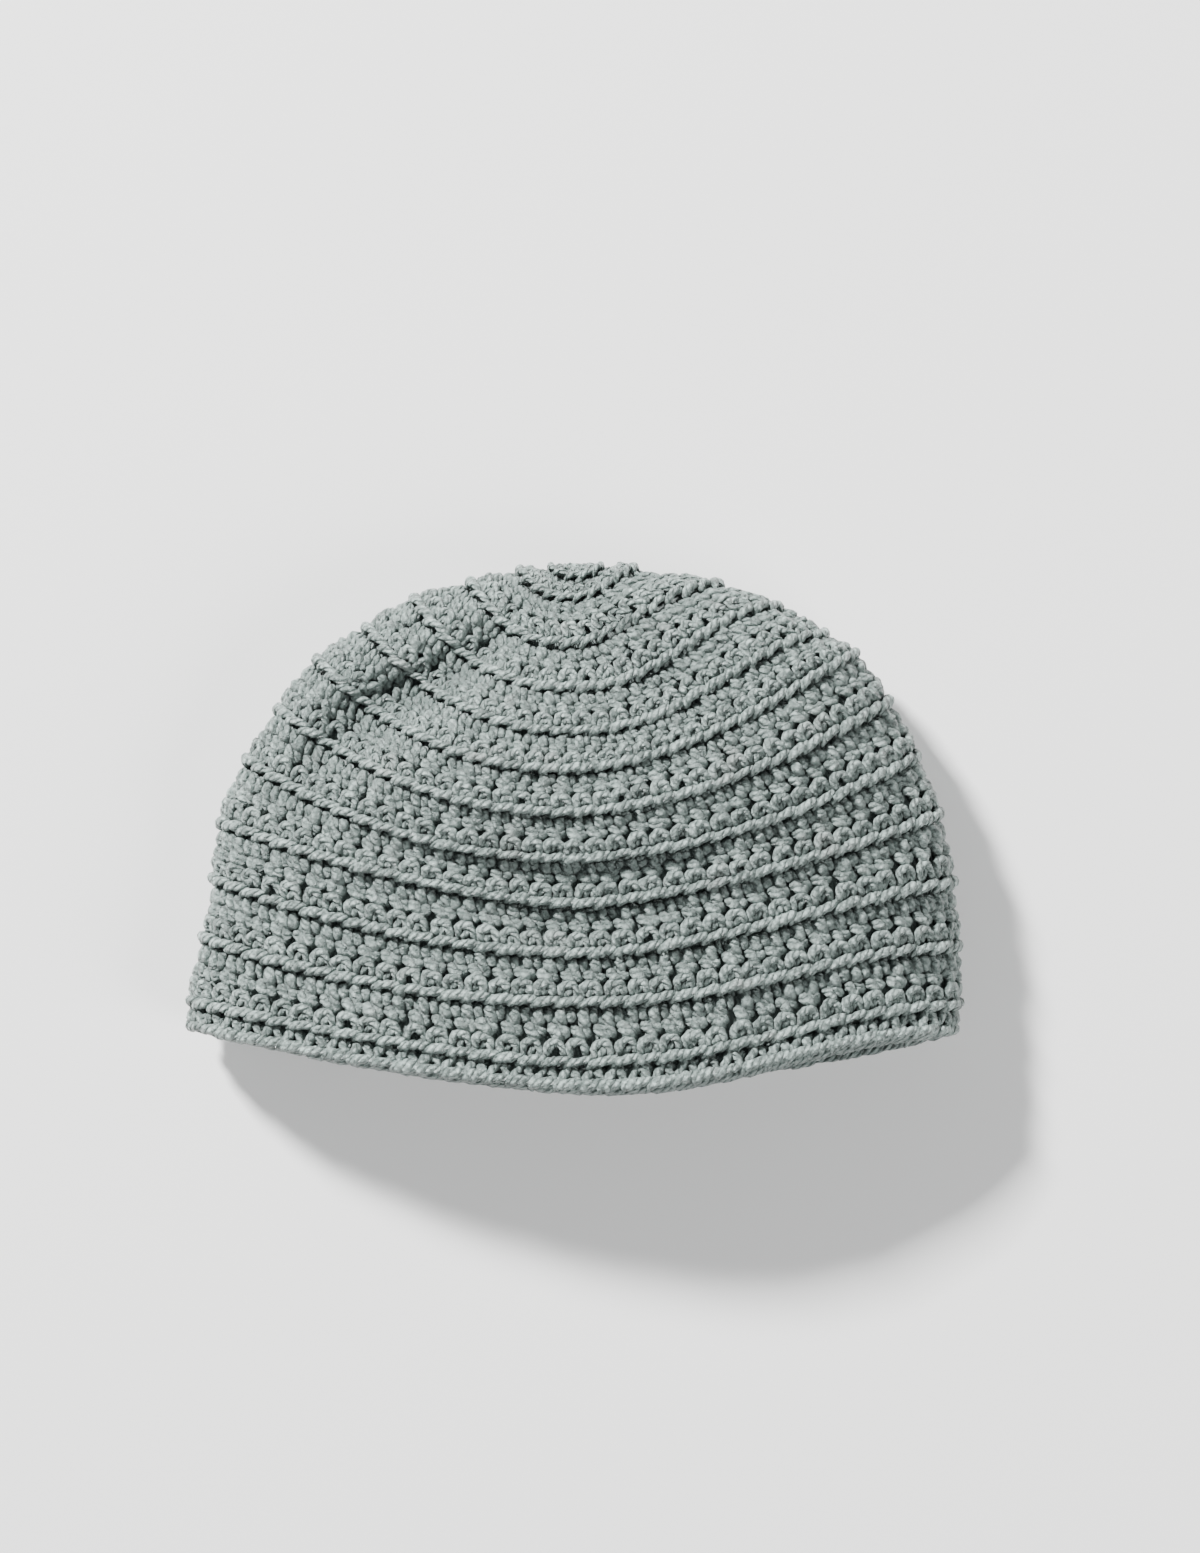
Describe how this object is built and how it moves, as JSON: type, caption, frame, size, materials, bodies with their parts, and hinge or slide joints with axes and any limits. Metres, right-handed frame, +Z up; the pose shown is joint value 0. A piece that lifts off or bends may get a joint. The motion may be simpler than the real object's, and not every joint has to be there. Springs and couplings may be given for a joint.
{
  "type": "crocheted skull cap",
  "caption": "Soft crocheted skull cap in one plain yarn, lying on its back, with ribbed rounds from the crown to a short edging and an open mouth for the head.",
  "frame": {"origin": "on the surface that the cap lies on, under the middle of its box", "axes": "+X along the mouth, +Y from the mouth to the crown centre, +Z up, away from the surface"},
  "size_m": [0.2404, 0.1633, 0.058],
  "materials": {
    "yarn": "matt plied cotton yarn, pale grey-green, crocheted in tall stitches with a chain ridge on every round"
  },
  "bodies": {
    "root": {"crown_centre": "yarn", "crown": "yarn", "side_wall": "yarn", "rim_edging": "yarn"}
  },
  "joints": []
}
